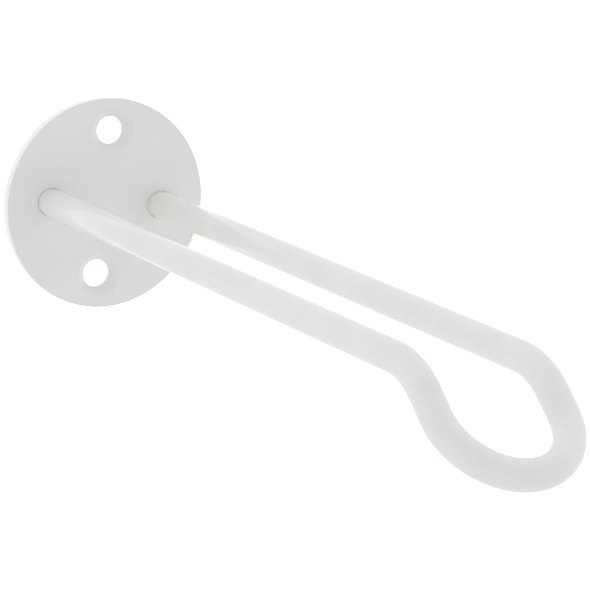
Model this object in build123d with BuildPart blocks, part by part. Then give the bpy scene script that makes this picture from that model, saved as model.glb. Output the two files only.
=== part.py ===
"""Plant hanging bracket: a round wall plate and one bent bar whose closed nose tips down.

Millimetres. The origin is the centre of the plate's back face, on the wall. Y points into the wall,
so the bar stands out along minus Y, and Z points up.
"""

from build123d import *
import os

# Wall plate
plate_diameter = 46
plate_thickness = 2.5
front_rim_radius = 0.3
back_rim_chamfer = 0.1
screw_spacing = 31.5
screw_hole_diameter = 6
countersink_diameter = 9.8
countersink_angle = 90
countersink_edge_radius = 0.15

# Hanger bar, measured along its centreline
bar_diameter = 6
arm_spacing = 26
arm_length = 150
bend_radius = 20
bend_angle = 36.5
nose_straight = 5

# The bar's ends in the plate
bar_hole_clearance = 0.05
weld_groove_depth = 1.1

bar_radius = bar_diameter / 2
nose_radius = arm_spacing / 2
bar_hole_radius = bar_radius + bar_hole_clearance
weld_groove_radius = bar_hole_radius + weld_groove_depth

wall_face = Plane.XZ
front_face = Plane.XZ.offset(plate_thickness)
right_arm_plane = Plane.YZ.offset(arm_spacing / 2)

# The wall plate is a disc of sheet steel, with its screw holes sunk for flat heads
with BuildPart() as wall_plate:
    with BuildSketch(wall_face):
        Circle(plate_diameter / 2)
        with GridLocations(arm_spacing, 0, 2, 1):
            Circle(bar_hole_radius, mode=Mode.SUBTRACT)
    extrude(amount=plate_thickness)

    # The rim is rounded in front, where it shows, and only broken at the back
    front_edges, back_edges = wall_plate.edges().filter_by(GeomType.CIRCLE).group_by(Axis.Y)
    fillet(front_edges.sort_by(SortBy.RADIUS)[-1], front_rim_radius)
    chamfer(back_edges.sort_by(SortBy.RADIUS)[-1], back_rim_chamfer)

    # At the back each bar hole is opened to a groove that takes the weld
    back_edges = wall_plate.edges().filter_by(GeomType.CIRCLE).group_by(Axis.Y)[-1]
    chamfer(back_edges.sort_by(SortBy.RADIUS)[:2], weld_groove_depth)

    with Locations(front_face):
        with GridLocations(0, screw_spacing, 1, 2):
            CounterSinkHole(
                screw_hole_diameter / 2,
                countersink_diameter / 2,
                counter_sink_angle=countersink_angle,
            )
    sunk_edges = (
        wall_plate.edges()
        .filter_by(GeomType.CIRCLE)
        .filter_by(lambda edge: abs(edge.radius - countersink_diameter / 2) < 0.01)
    )
    fillet(sunk_edges, countersink_edge_radius)
wall_plate.part.label = "wall_plate"

# One side of the bar's route: the arm, the bend down and a short straight before the nose
with BuildLine(right_arm_plane) as right_side:
    arm = Line((0, 0), (-arm_length, 0))
    bend = JernArc(arm @ 1, arm % 1, bend_radius, bend_angle)
    Line(bend @ 1, bend @ 1 + (bend % 1) * nose_straight)

# The nose is a half circle in the plane that the bend has tipped down
nose_end = right_side.line @ 1
nose_centre = Vector(0, nose_end.Y, nose_end.Z)
nose_tip = nose_centre + (right_side.line % 1) * nose_radius
left_nose_end = Vector(-nose_end.X, nose_end.Y, nose_end.Z)

with BuildLine() as bar_route:
    add(right_side.line)
    mirror(about=Plane.YZ)
    ThreePointArc(nose_end, nose_tip, left_nose_end)

# The bar is one round section carried along the whole route, so it has no seam at the bends
with BuildPart() as hanger_bar:
    with BuildSketch(Plane(origin=arm @ 0, x_dir=(1, 0, 0), z_dir=arm % 0)):
        Circle(bar_radius)
    sweep(path=bar_route.wire())
hanger_bar.part.label = "hanger_bar"

# Each weld fills the groove round a bar end and is ground level with the plate's back
with BuildPart() as back_welds:
    with BuildSketch(right_arm_plane):
        with BuildLine():
            Polyline(
                (0, bar_radius),
                (0, weld_groove_radius),
                (-weld_groove_depth, bar_hole_radius),
                (-weld_groove_depth, bar_radius),
                close=True,
            )
        make_face()
    revolve(axis=Axis((arm_spacing / 2, 0, 0), (0, 1, 0)))
    mirror(about=Plane.YZ)
back_welds.part.label = "back_welds"

os.makedirs("parts", exist_ok=True)
export_step(wall_plate.part, "parts/wall_plate.step")
export_step(hanger_bar.part, "parts/hanger_bar.step")
export_step(back_welds.part, "parts/back_welds.step")
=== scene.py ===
import math

import bpy
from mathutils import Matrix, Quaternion, Vector


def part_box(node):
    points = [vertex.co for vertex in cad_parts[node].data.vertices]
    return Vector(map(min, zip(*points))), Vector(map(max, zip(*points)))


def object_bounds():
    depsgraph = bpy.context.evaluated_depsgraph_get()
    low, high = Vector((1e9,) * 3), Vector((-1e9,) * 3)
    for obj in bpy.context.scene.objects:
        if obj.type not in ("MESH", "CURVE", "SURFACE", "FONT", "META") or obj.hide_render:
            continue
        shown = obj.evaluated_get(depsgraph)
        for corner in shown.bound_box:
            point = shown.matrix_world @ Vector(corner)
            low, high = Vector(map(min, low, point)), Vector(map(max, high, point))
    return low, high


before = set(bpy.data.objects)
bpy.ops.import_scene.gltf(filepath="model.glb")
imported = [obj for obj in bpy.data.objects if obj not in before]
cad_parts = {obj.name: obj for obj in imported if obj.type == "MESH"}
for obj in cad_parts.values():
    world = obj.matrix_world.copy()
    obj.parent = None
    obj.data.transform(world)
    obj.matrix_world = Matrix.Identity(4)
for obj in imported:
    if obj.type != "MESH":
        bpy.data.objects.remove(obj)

bl_info = {
    "name": "Plant hanging bracket",
    "version": (1, 0, 0),
    "blender": (4, 5, 0),
    "location": "3D View > Sidebar > Bracket",
    "description": "Finishes a powder coated wall bracket for a hanging plant and sets its studio stage",
    "category": "Object",
}

CAD_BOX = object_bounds()
MM = 0.001
SENSOR_WIDTH = 36
RING_SIDES = 96

# Blender's noise mostly stays between these two values
NOISE_LOW, NOISE_HIGH = 0.3, 0.7

# The Mix node's colour sockets go by number, because its plain number sockets have the same names
MIX_COLOUR_A, MIX_COLOUR_B, MIX_COLOUR_RESULT = 6, 7, 2


def linear(hex_colour):
    """A colour written as sRGB hex, turned to the linear values that Blender works in."""
    values = [int(hex_colour[i:i + 2], 16) / 255 for i in (1, 3, 5)]
    return [v / 12.92 if v <= 0.04045 else ((v + 0.055) / 1.055) ** 2.4 for v in values]


class CoatSettings(bpy.types.PropertyGroup):
    """The white powder coat that covers every piece."""

    thick_colour: bpy.props.FloatVectorProperty(
        name="Colour where thick",
        description="Warm white, where the coat lies thickest",
        subtype="COLOR",
        size=3,
        min=0,
        max=1,
        default=linear("#F0EEEC"),
    )
    thin_colour: bpy.props.FloatVectorProperty(
        name="Colour where thin",
        description="Where the coat lies thinnest, so that the steel dulls it a little",
        subtype="COLOR",
        size=3,
        min=0,
        max=1,
        default=linear("#ECEAE8"),
    )
    weld_colour: bpy.props.FloatVectorProperty(
        name="Colour over welds",
        description="In the scratches of the ground welds, which show through as faint rings",
        subtype="COLOR",
        size=3,
        min=0,
        max=1,
        default=linear("#DEDBD7"),
    )
    patch_width: bpy.props.FloatProperty(
        name="Patch width",
        description="Distance between two places where the coat lies thick",
        subtype="DISTANCE",
        default=12 * MM,
    )
    smooth_roughness: bpy.props.FloatProperty(
        name="Smoothest",
        description="Roughness on the crests of the flow ripple, which cure glossy",
        subtype="FACTOR",
        min=0,
        max=1,
        default=0.12,
    )
    dull_roughness: bpy.props.FloatProperty(
        name="Dullest",
        description="Roughness in the hollows of the flow ripple",
        subtype="FACTOR",
        min=0,
        max=1,
        default=0.18,
    )
    peel_width: bpy.props.FloatProperty(
        name="Orange peel width",
        description="Distance between two crests of the coat's flow ripple",
        subtype="DISTANCE",
        default=1.6 * MM,
    )
    peel_depth: bpy.props.FloatProperty(
        name="Orange peel depth",
        description="Height of the flow ripple",
        subtype="DISTANCE",
        default=0.01 * MM,
    )
    grind_width: bpy.props.FloatProperty(
        name="Grinding scratch width",
        description="Distance between two grinding scratches on the welds",
        subtype="DISTANCE",
        default=0.5 * MM,
    )
    grind_depth: bpy.props.FloatProperty(
        name="Grinding scratch depth",
        description="Depth of the scratches that still show through the coat",
        subtype="DISTANCE",
        default=0.02 * MM,
    )
    grind_length: bpy.props.FloatProperty(
        name="Grinding scratch length",
        description="Length of the grinding scratches, which run upright",
        subtype="DISTANCE",
        default=6 * MM,
    )


class StageSettings(bpy.types.PropertyGroup):
    """The light tent, the floor, the ring light and the camera."""

    floor_drop: bpy.props.FloatProperty(
        name="Floor drop",
        description="How far the floor lies below the bracket's lowest point",
        subtype="DISTANCE",
        default=0.35,
    )
    floor_size: bpy.props.FloatProperty(
        name="Floor size",
        description="Side of the square floor",
        subtype="DISTANCE",
        default=30.0,
    )
    floor_colour: bpy.props.FloatVectorProperty(
        name="Floor colour",
        description="The white sheet of the light table",
        subtype="COLOR",
        size=3,
        min=0,
        max=1,
        default=linear("#E7E7E7"),
    )
    front_light: bpy.props.FloatProperty(
        name="Front light",
        description="Brightness of the light tent on the camera's side",
        default=0.9,
    )
    back_light: bpy.props.FloatProperty(
        name="Back light",
        description="Brightness of the light tent behind the bracket",
        default=1.01,
    )
    backdrop_light: bpy.props.FloatProperty(
        name="Backdrop light",
        description="Brightness of the tent and the floor as the camera sees them, which is pure white",
        default=1.2,
    )
    ring_light: bpy.props.FloatProperty(
        name="Ring light",
        description="Brightness that the lit ring round the plate's back adds to the tent's",
        default=0.28,
    )
    ring_width: bpy.props.FloatProperty(
        name="Ring width",
        description="How far the ring reaches past the plate's rim",
        subtype="DISTANCE",
        default=8 * MM,
    )
    ring_gap: bpy.props.FloatProperty(
        name="Ring gap",
        description="Distance from the plate's back to the ring",
        subtype="DISTANCE",
        default=2 * MM,
    )
    opening_azimuth: bpy.props.FloatProperty(
        name="Opening azimuth",
        description="Which side the tent's dark opening is on, from straight ahead of the wall",
        subtype="ANGLE",
        default=math.radians(-10),
    )
    opening_elevation: bpy.props.FloatProperty(
        name="Opening elevation",
        description="How high the tent's dark opening is",
        subtype="ANGLE",
        default=math.radians(40),
    )
    opening_width: bpy.props.FloatProperty(
        name="Opening width",
        description="Angle from the middle of the opening to its soft edge",
        subtype="ANGLE",
        default=math.radians(50),
    )
    opening_shade: bpy.props.FloatProperty(
        name="Opening shade",
        description="How much darker than the tent the opening is",
        default=0.29,
    )
    aim: bpy.props.FloatVectorProperty(
        name="Aim",
        description="The point that the camera looks at",
        subtype="TRANSLATION",
        size=3,
        default=(0.96 * MM, -87.94 * MM, -2.14 * MM),
    )
    azimuth: bpy.props.FloatProperty(
        name="Azimuth",
        description="Which side the camera stands on, from straight ahead of the wall",
        subtype="ANGLE",
        default=math.radians(-29.285),
    )
    elevation: bpy.props.FloatProperty(
        name="Elevation",
        description="How far the camera looks down",
        subtype="ANGLE",
        default=math.radians(10.306),
    )
    roll: bpy.props.FloatProperty(
        name="Roll",
        description="How far the camera leans over",
        subtype="ANGLE",
        default=math.radians(6.092),
    )
    distance: bpy.props.FloatProperty(
        name="Distance",
        description="From the camera to its aim",
        subtype="DISTANCE",
        default=603.23 * MM,
    )
    lens: bpy.props.FloatProperty(
        name="Focal length",
        description=f"For a sensor {SENSOR_WIDTH} mm wide",
        subtype="DISTANCE_CAMERA",
        default=190.79,
    )


def add_node(tree, kind, links=(), **settings):
    """Adds a shader node, sets its properties and sockets, and links its inputs."""
    node = tree.nodes.new(kind)
    for name, value in settings.items():
        if hasattr(node, name):
            setattr(node, name, value)
        else:
            node.inputs[name.replace("_", " ")].default_value = value
    for socket, source in dict(links).items():
        tree.links.new(source, node.inputs[socket])
    return node


def map_noise(tree, noise, low, high):
    """Nodes that spread a noise over the values from low to high."""
    spread = add_node(
        tree,
        "ShaderNodeMapRange",
        {"Value": noise},
        From_Min=NOISE_LOW,
        From_Max=NOISE_HIGH,
        To_Min=low,
        To_Max=high,
    )
    return spread.outputs["Result"]


def new_material(name):
    """Starts a material and returns it with its node tree and its object coordinates."""
    material = bpy.data.materials.new(name)
    material.use_nodes = True
    place = add_node(material.node_tree, "ShaderNodeTexCoord").outputs["Object"]
    return material, material.node_tree, place


def powder_coat(tree, settings, film, thin_colour, thick_colour, surface, relief):
    """Links a coat's colour to how thick its film is, and its gloss and bump to its surface."""
    shader = tree.nodes["Principled BSDF"]
    thickness = map_noise(tree, film, 0, 1)
    colour = add_node(tree, "ShaderNodeMix", {"Factor": thickness}, data_type="RGBA")
    colour.inputs[MIX_COLOUR_A].default_value = (*thin_colour, 1)
    colour.inputs[MIX_COLOUR_B].default_value = (*thick_colour, 1)
    tree.links.new(colour.outputs[MIX_COLOUR_RESULT], shader.inputs["Base Color"])

    roughness = map_noise(tree, surface, settings.dull_roughness, settings.smooth_roughness)
    tree.links.new(roughness, shader.inputs["Roughness"])

    # The noise fills only part of its range, so the bump is scaled up to come out as deep as the relief
    height = relief / (NOISE_HIGH - NOISE_LOW)
    bump = add_node(tree, "ShaderNodeBump", {"Height": surface}, Strength=1.0, Distance=height)
    tree.links.new(bump.outputs["Normal"], shader.inputs["Normal"])


def white_powder_coat(settings):
    """Polyester powder coat, sprayed on and cured in an oven. It's semi-gloss, with a faint flow ripple.

    The ripple, called orange peel, breaks up the highlights along the bar a little, unlike on plastic.
    The film is a little uneven too, so that the flat of the plate isn't one even grey.
    """
    material, tree, place = new_material("white_powder_coat")
    film = add_node(
        tree,
        "ShaderNodeTexNoise",
        {"Vector": place},
        Scale=1 / settings.patch_width,
        Detail=1.0,
    )
    peel = add_node(
        tree,
        "ShaderNodeTexNoise",
        {"Vector": place},
        Scale=1 / settings.peel_width,
        Detail=1.0,
        Roughness=0.4,
    )
    powder_coat(
        tree,
        settings,
        film=film.outputs["Fac"],
        thin_colour=settings.thin_colour,
        thick_colour=settings.thick_colour,
        surface=peel.outputs["Fac"],
        relief=settings.peel_depth,
    )
    return material


def coat_over_ground_weld(settings):
    """The same coat over weld metal that was ground level. The scratches still show, as fine dull lines."""
    material, tree, place = new_material("white_powder_coat_over_ground_weld")
    # The noise is stretched upright, which draws it as the scratches of one pass of the grinder. They are
    # about twice as coarse as real ones, which wouldn't show in the render.
    stretch = (1, 1, settings.grind_width / settings.grind_length)
    across = add_node(tree, "ShaderNodeMapping", {"Vector": place}, Scale=stretch)
    scratches = add_node(
        tree,
        "ShaderNodeTexNoise",
        {"Vector": across.outputs["Vector"]},
        Scale=1 / settings.grind_width,
        Detail=3.0,
        Roughness=0.6,
    )
    powder_coat(
        tree,
        settings,
        film=scratches.outputs["Fac"],
        thin_colour=settings.weld_colour,
        thick_colour=settings.thin_colour,
        surface=scratches.outputs["Fac"],
        relief=settings.grind_depth,
    )
    return material


def give_material(node_name, material):
    """Puts one material on a CAD piece in place of its plain one."""
    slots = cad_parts[node_name].data.materials
    slots.clear()
    slots.append(material)


class BRACKET_OT_coat_plate_and_bar(bpy.types.Operator):
    """Gives the wall plate and the bar their powder coat"""

    bl_idname = "bracket.coat_plate_and_bar"
    bl_label = "Coat plate and bar"

    def execute(self, context):
        coat = white_powder_coat(context.scene.bracket_coat)
        give_material("wall_plate", coat)
        give_material("hanger_bar", coat)
        return {"FINISHED"}


class BRACKET_OT_coat_welds(bpy.types.Operator):
    """Gives the ground welds at the back their powder coat"""

    bl_idname = "bracket.coat_welds"
    bl_label = "Coat welds"

    def execute(self, context):
        give_material("back_welds", coat_over_ground_weld(context.scene.bracket_coat))
        return {"FINISHED"}


def direction_to(azimuth, elevation):
    """The direction from the bracket to a point on the tent or to the camera."""
    return Vector((
        math.sin(azimuth) * math.cos(elevation),
        -math.cos(azimuth) * math.cos(elevation),
        math.sin(elevation),
    ))


def soft_step(tree, direction, axis, start, end, low, high):
    """Nodes for a brightness that goes smoothly from low to high as a direction turns towards an axis.

    Start and end are cosines of the angle between the two.
    """
    along = add_node(tree, "ShaderNodeVectorMath", {0: direction}, operation="DOT_PRODUCT")
    along.inputs[1].default_value = axis
    step = add_node(
        tree,
        "ShaderNodeMapRange",
        {"Value": along.outputs["Value"]},
        interpolation_type="SMOOTHSTEP",
        From_Min=start,
        From_Max=end,
        To_Min=low,
        To_Max=high,
    )
    return step.outputs["Result"]


def tent_brightness(tree, direction, settings, reflected=0.0):
    """Nodes for the tent's brightness in a direction, less the light that a surface there reflects.

    The bracket is lit by the tent's uneven white, but every view sees an even, overexposed backdrop.
    """
    behind = -direction_to(settings.azimuth, 0)
    front = settings.front_light - reflected
    back = settings.back_light - reflected
    wall = soft_step(tree, direction, behind, start=-1, end=1, low=front, high=back)

    middle = direction_to(settings.opening_azimuth, settings.opening_elevation)
    edge = math.cos(settings.opening_width)
    opening = soft_step(tree, direction, middle, start=edge, end=1, low=0, high=settings.opening_shade)
    tent = add_node(tree, "ShaderNodeMath", {0: wall, 1: opening}, operation="SUBTRACT").outputs["Value"]

    seen = add_node(tree, "ShaderNodeLightPath").outputs["Is Camera Ray"]
    backdrop = add_node(tree, "ShaderNodeMix", {"Factor": seen, "A": tent}, B=settings.backdrop_light)
    return backdrop.outputs["Result"]


class BRACKET_OT_stage(bpy.types.Operator):
    """Sets the light tent, the floor, the ring light and the camera"""

    bl_idname = "bracket.stage"
    bl_label = "Stage"

    def execute(self, context):
        settings = context.scene.bracket_stage
        self.add_tent(context, settings)
        self.add_floor(settings)
        self.add_ring_light(settings)
        self.add_camera(context, settings)
        context.scene.view_settings.view_transform = "Standard"
        return {"FINISHED"}

    def add_tent(self, context, settings):
        world = bpy.data.worlds.new("light_tent")
        world.use_nodes = True
        tree = world.node_tree
        direction = add_node(tree, "ShaderNodeTexCoord").outputs["Generated"]
        brightness = tent_brightness(tree, direction, settings)
        tree.nodes["Background"].inputs["Color"].default_value = (1, 1, 1, 1)
        tree.links.new(brightness, tree.nodes["Background"].inputs["Strength"])
        context.scene.world = world

    def add_floor(self, settings):
        bpy.ops.object.select_all(action="DESELECT")
        height = CAD_BOX[0].z - settings.floor_drop
        bpy.ops.mesh.primitive_plane_add(size=settings.floor_size, location=(0, 0, height))
        floor = bpy.context.active_object
        floor.name = "floor"
        bpy.ops.object.transform_apply(location=True, rotation=False, scale=False)

        # A light table: a matt white sheet lit from below, as bright as the tent and free of shadows
        sheet, tree, place = new_material("white_light_table")
        shader = tree.nodes["Principled BSDF"]
        shader.inputs["Base Color"].default_value = (*settings.floor_colour, 1)
        shader.inputs["Roughness"].default_value = 1.0
        shader.inputs["Emission Color"].default_value = (1, 1, 1, 1)
        direction = add_node(tree, "ShaderNodeVectorMath", {0: place}, operation="NORMALIZE")
        reflected = settings.floor_colour[0] * (settings.front_light + settings.back_light) / 2
        glow = tent_brightness(tree, direction.outputs["Vector"], settings, reflected)
        tree.links.new(glow, shader.inputs["Emission Strength"])
        floor.data.materials.append(sheet)

    def add_ring_light(self, settings):
        """Adds a lit ring close behind the plate, which brightens the plate's rim but not the bar."""
        plate_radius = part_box("wall_plate")[1][0]
        bpy.ops.object.select_all(action="DESELECT")
        bpy.ops.mesh.primitive_circle_add(
            vertices=RING_SIDES,
            radius=plate_radius + settings.ring_width,
            fill_type="NGON",
            location=(0, settings.ring_gap, 0),
            rotation=(math.radians(90), 0, 0),
        )
        ring = bpy.context.active_object
        ring.name = "ring_light"
        bpy.ops.object.transform_apply(location=True, rotation=True, scale=False)
        bpy.ops.object.mode_set(mode="EDIT")
        bpy.ops.mesh.select_all(action="SELECT")
        bpy.ops.mesh.inset(thickness=settings.ring_width)
        bpy.ops.mesh.delete(type="FACE")
        bpy.ops.object.mode_set(mode="OBJECT")

        # The ring is clear and only adds its own light, so it shades nothing, and no camera sees it
        glow = bpy.data.materials.new("lit_clear_ring")
        glow.use_nodes = True
        tree = glow.node_tree
        tree.nodes.remove(tree.nodes["Principled BSDF"])
        clear = add_node(tree, "ShaderNodeBsdfTransparent").outputs["BSDF"]
        light = add_node(tree, "ShaderNodeEmission", Strength=settings.ring_light).outputs["Emission"]
        both = add_node(tree, "ShaderNodeAddShader", {0: clear, 1: light}).outputs["Shader"]
        tree.links.new(both, tree.nodes["Material Output"].inputs["Surface"])
        ring.data.materials.append(glow)
        ring.visible_camera = False

    def add_camera(self, context, settings):
        towards = -direction_to(settings.azimuth, settings.elevation)
        camera_data = bpy.data.cameras.new("camera")
        camera_data.lens = settings.lens
        camera_data.sensor_width = SENSOR_WIDTH
        camera_data.clip_start = 0.01
        camera_data.clip_end = 100
        camera = bpy.data.objects.new("camera", camera_data)
        context.collection.objects.link(camera)
        camera.rotation_mode = "QUATERNION"
        level = towards.to_track_quat("-Z", "Y")
        camera.rotation_quaternion = level @ Quaternion((0, 0, 1), settings.roll)
        camera.location = Vector(settings.aim) - towards * settings.distance
        context.scene.camera = camera


class BRACKET_PT_panel(bpy.types.Panel):
    """Lists the bracket's steps and their settings"""

    bl_idname = "BRACKET_PT_panel"
    bl_label = "Plant hanging bracket"
    bl_space_type = "VIEW_3D"
    bl_region_type = "UI"
    bl_category = "Bracket"

    def draw(self, context):
        for operator in OPERATORS:
            self.layout.operator(operator.bl_idname)
        for settings in (context.scene.bracket_coat, context.scene.bracket_stage):
            for name in settings.bl_rna.properties.keys():
                if name not in ("rna_type", "name"):
                    self.layout.prop(settings, name)


OPERATORS = (BRACKET_OT_coat_plate_and_bar, BRACKET_OT_coat_welds, BRACKET_OT_stage)
CLASSES = (CoatSettings, StageSettings, *OPERATORS, BRACKET_PT_panel)


def register():
    for cls in CLASSES:
        bpy.utils.register_class(cls)
    bpy.types.Scene.bracket_coat = bpy.props.PointerProperty(type=CoatSettings)
    bpy.types.Scene.bracket_stage = bpy.props.PointerProperty(type=StageSettings)


def unregister():
    del bpy.types.Scene.bracket_stage
    del bpy.types.Scene.bracket_coat
    for cls in reversed(CLASSES):
        bpy.utils.unregister_class(cls)


def main():
    register()
    bpy.ops.bracket.coat_plate_and_bar()
    bpy.ops.bracket.coat_welds()
    bpy.ops.bracket.stage()


if __name__ == "__main__":
    main()
